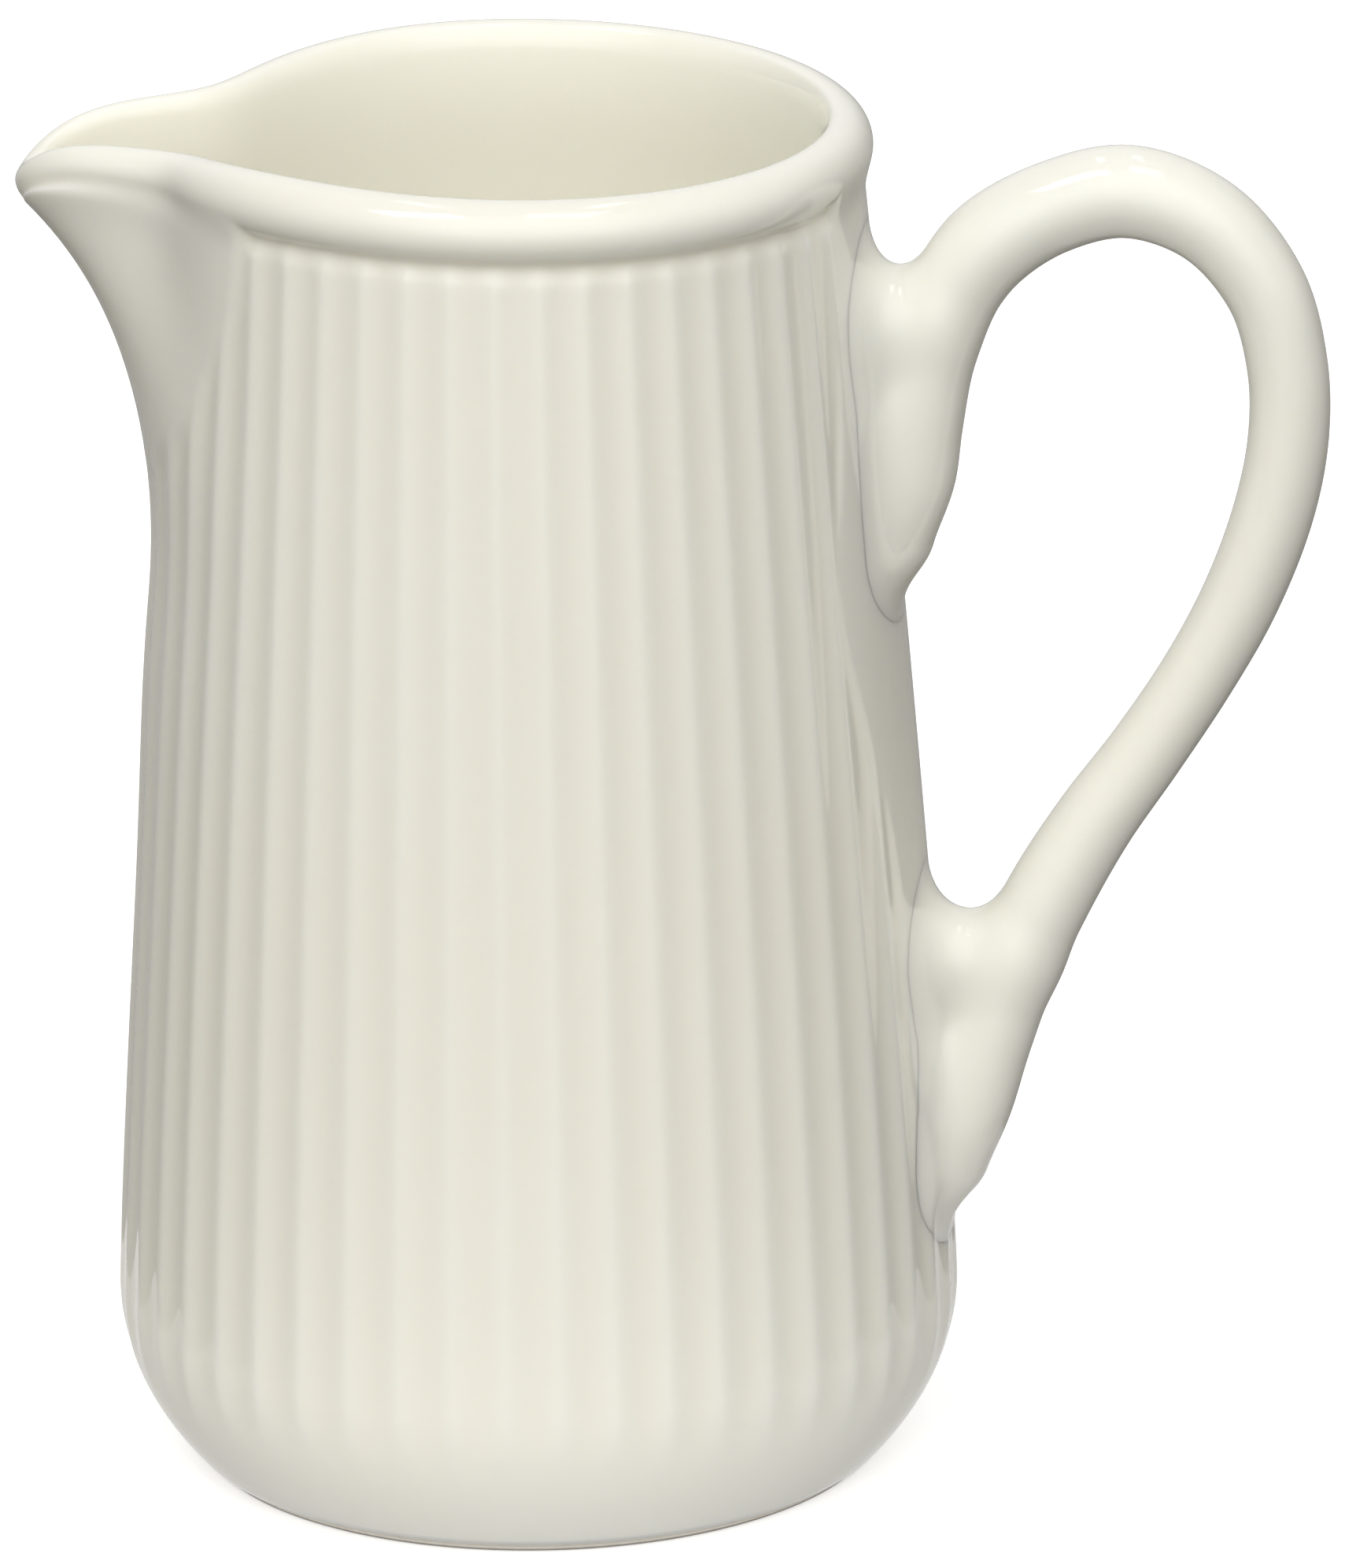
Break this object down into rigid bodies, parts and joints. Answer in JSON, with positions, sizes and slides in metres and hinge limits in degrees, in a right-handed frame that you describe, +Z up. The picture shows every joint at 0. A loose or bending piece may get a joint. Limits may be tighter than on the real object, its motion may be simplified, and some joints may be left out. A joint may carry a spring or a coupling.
{
  "type": "pitcher",
  "caption": "Small glazed porcelain pitcher: tapered pleated body, rolled rim, pulled pouring spout and an ear-shaped handle luted on at both ends.",
  "frame": {"origin": "centre of the foot, on the surface that the pitcher stands on", "axes": "+Z up along the body's axis, +X towards the handle, -X towards the spout, +Y to complete a right-handed frame; X and Z lie in the plane that the pitcher is symmetric about"},
  "size_m": [0.1128, 0.0724, 0.1201],
  "materials": {
    "glaze": "glossy ivory glaze",
    "bisque": "bare fired porcelain, wiped free of glaze"
  },
  "bodies": {
    "root": {"foot_ring": "bisque", "base": "glaze", "body_wall": "glaze", "pouring_spout": "glaze", "rim": "glaze", "handle": "glaze", "upper_handle_joint": "glaze", "lower_handle_joint": "glaze"}
  },
  "joints": []
}
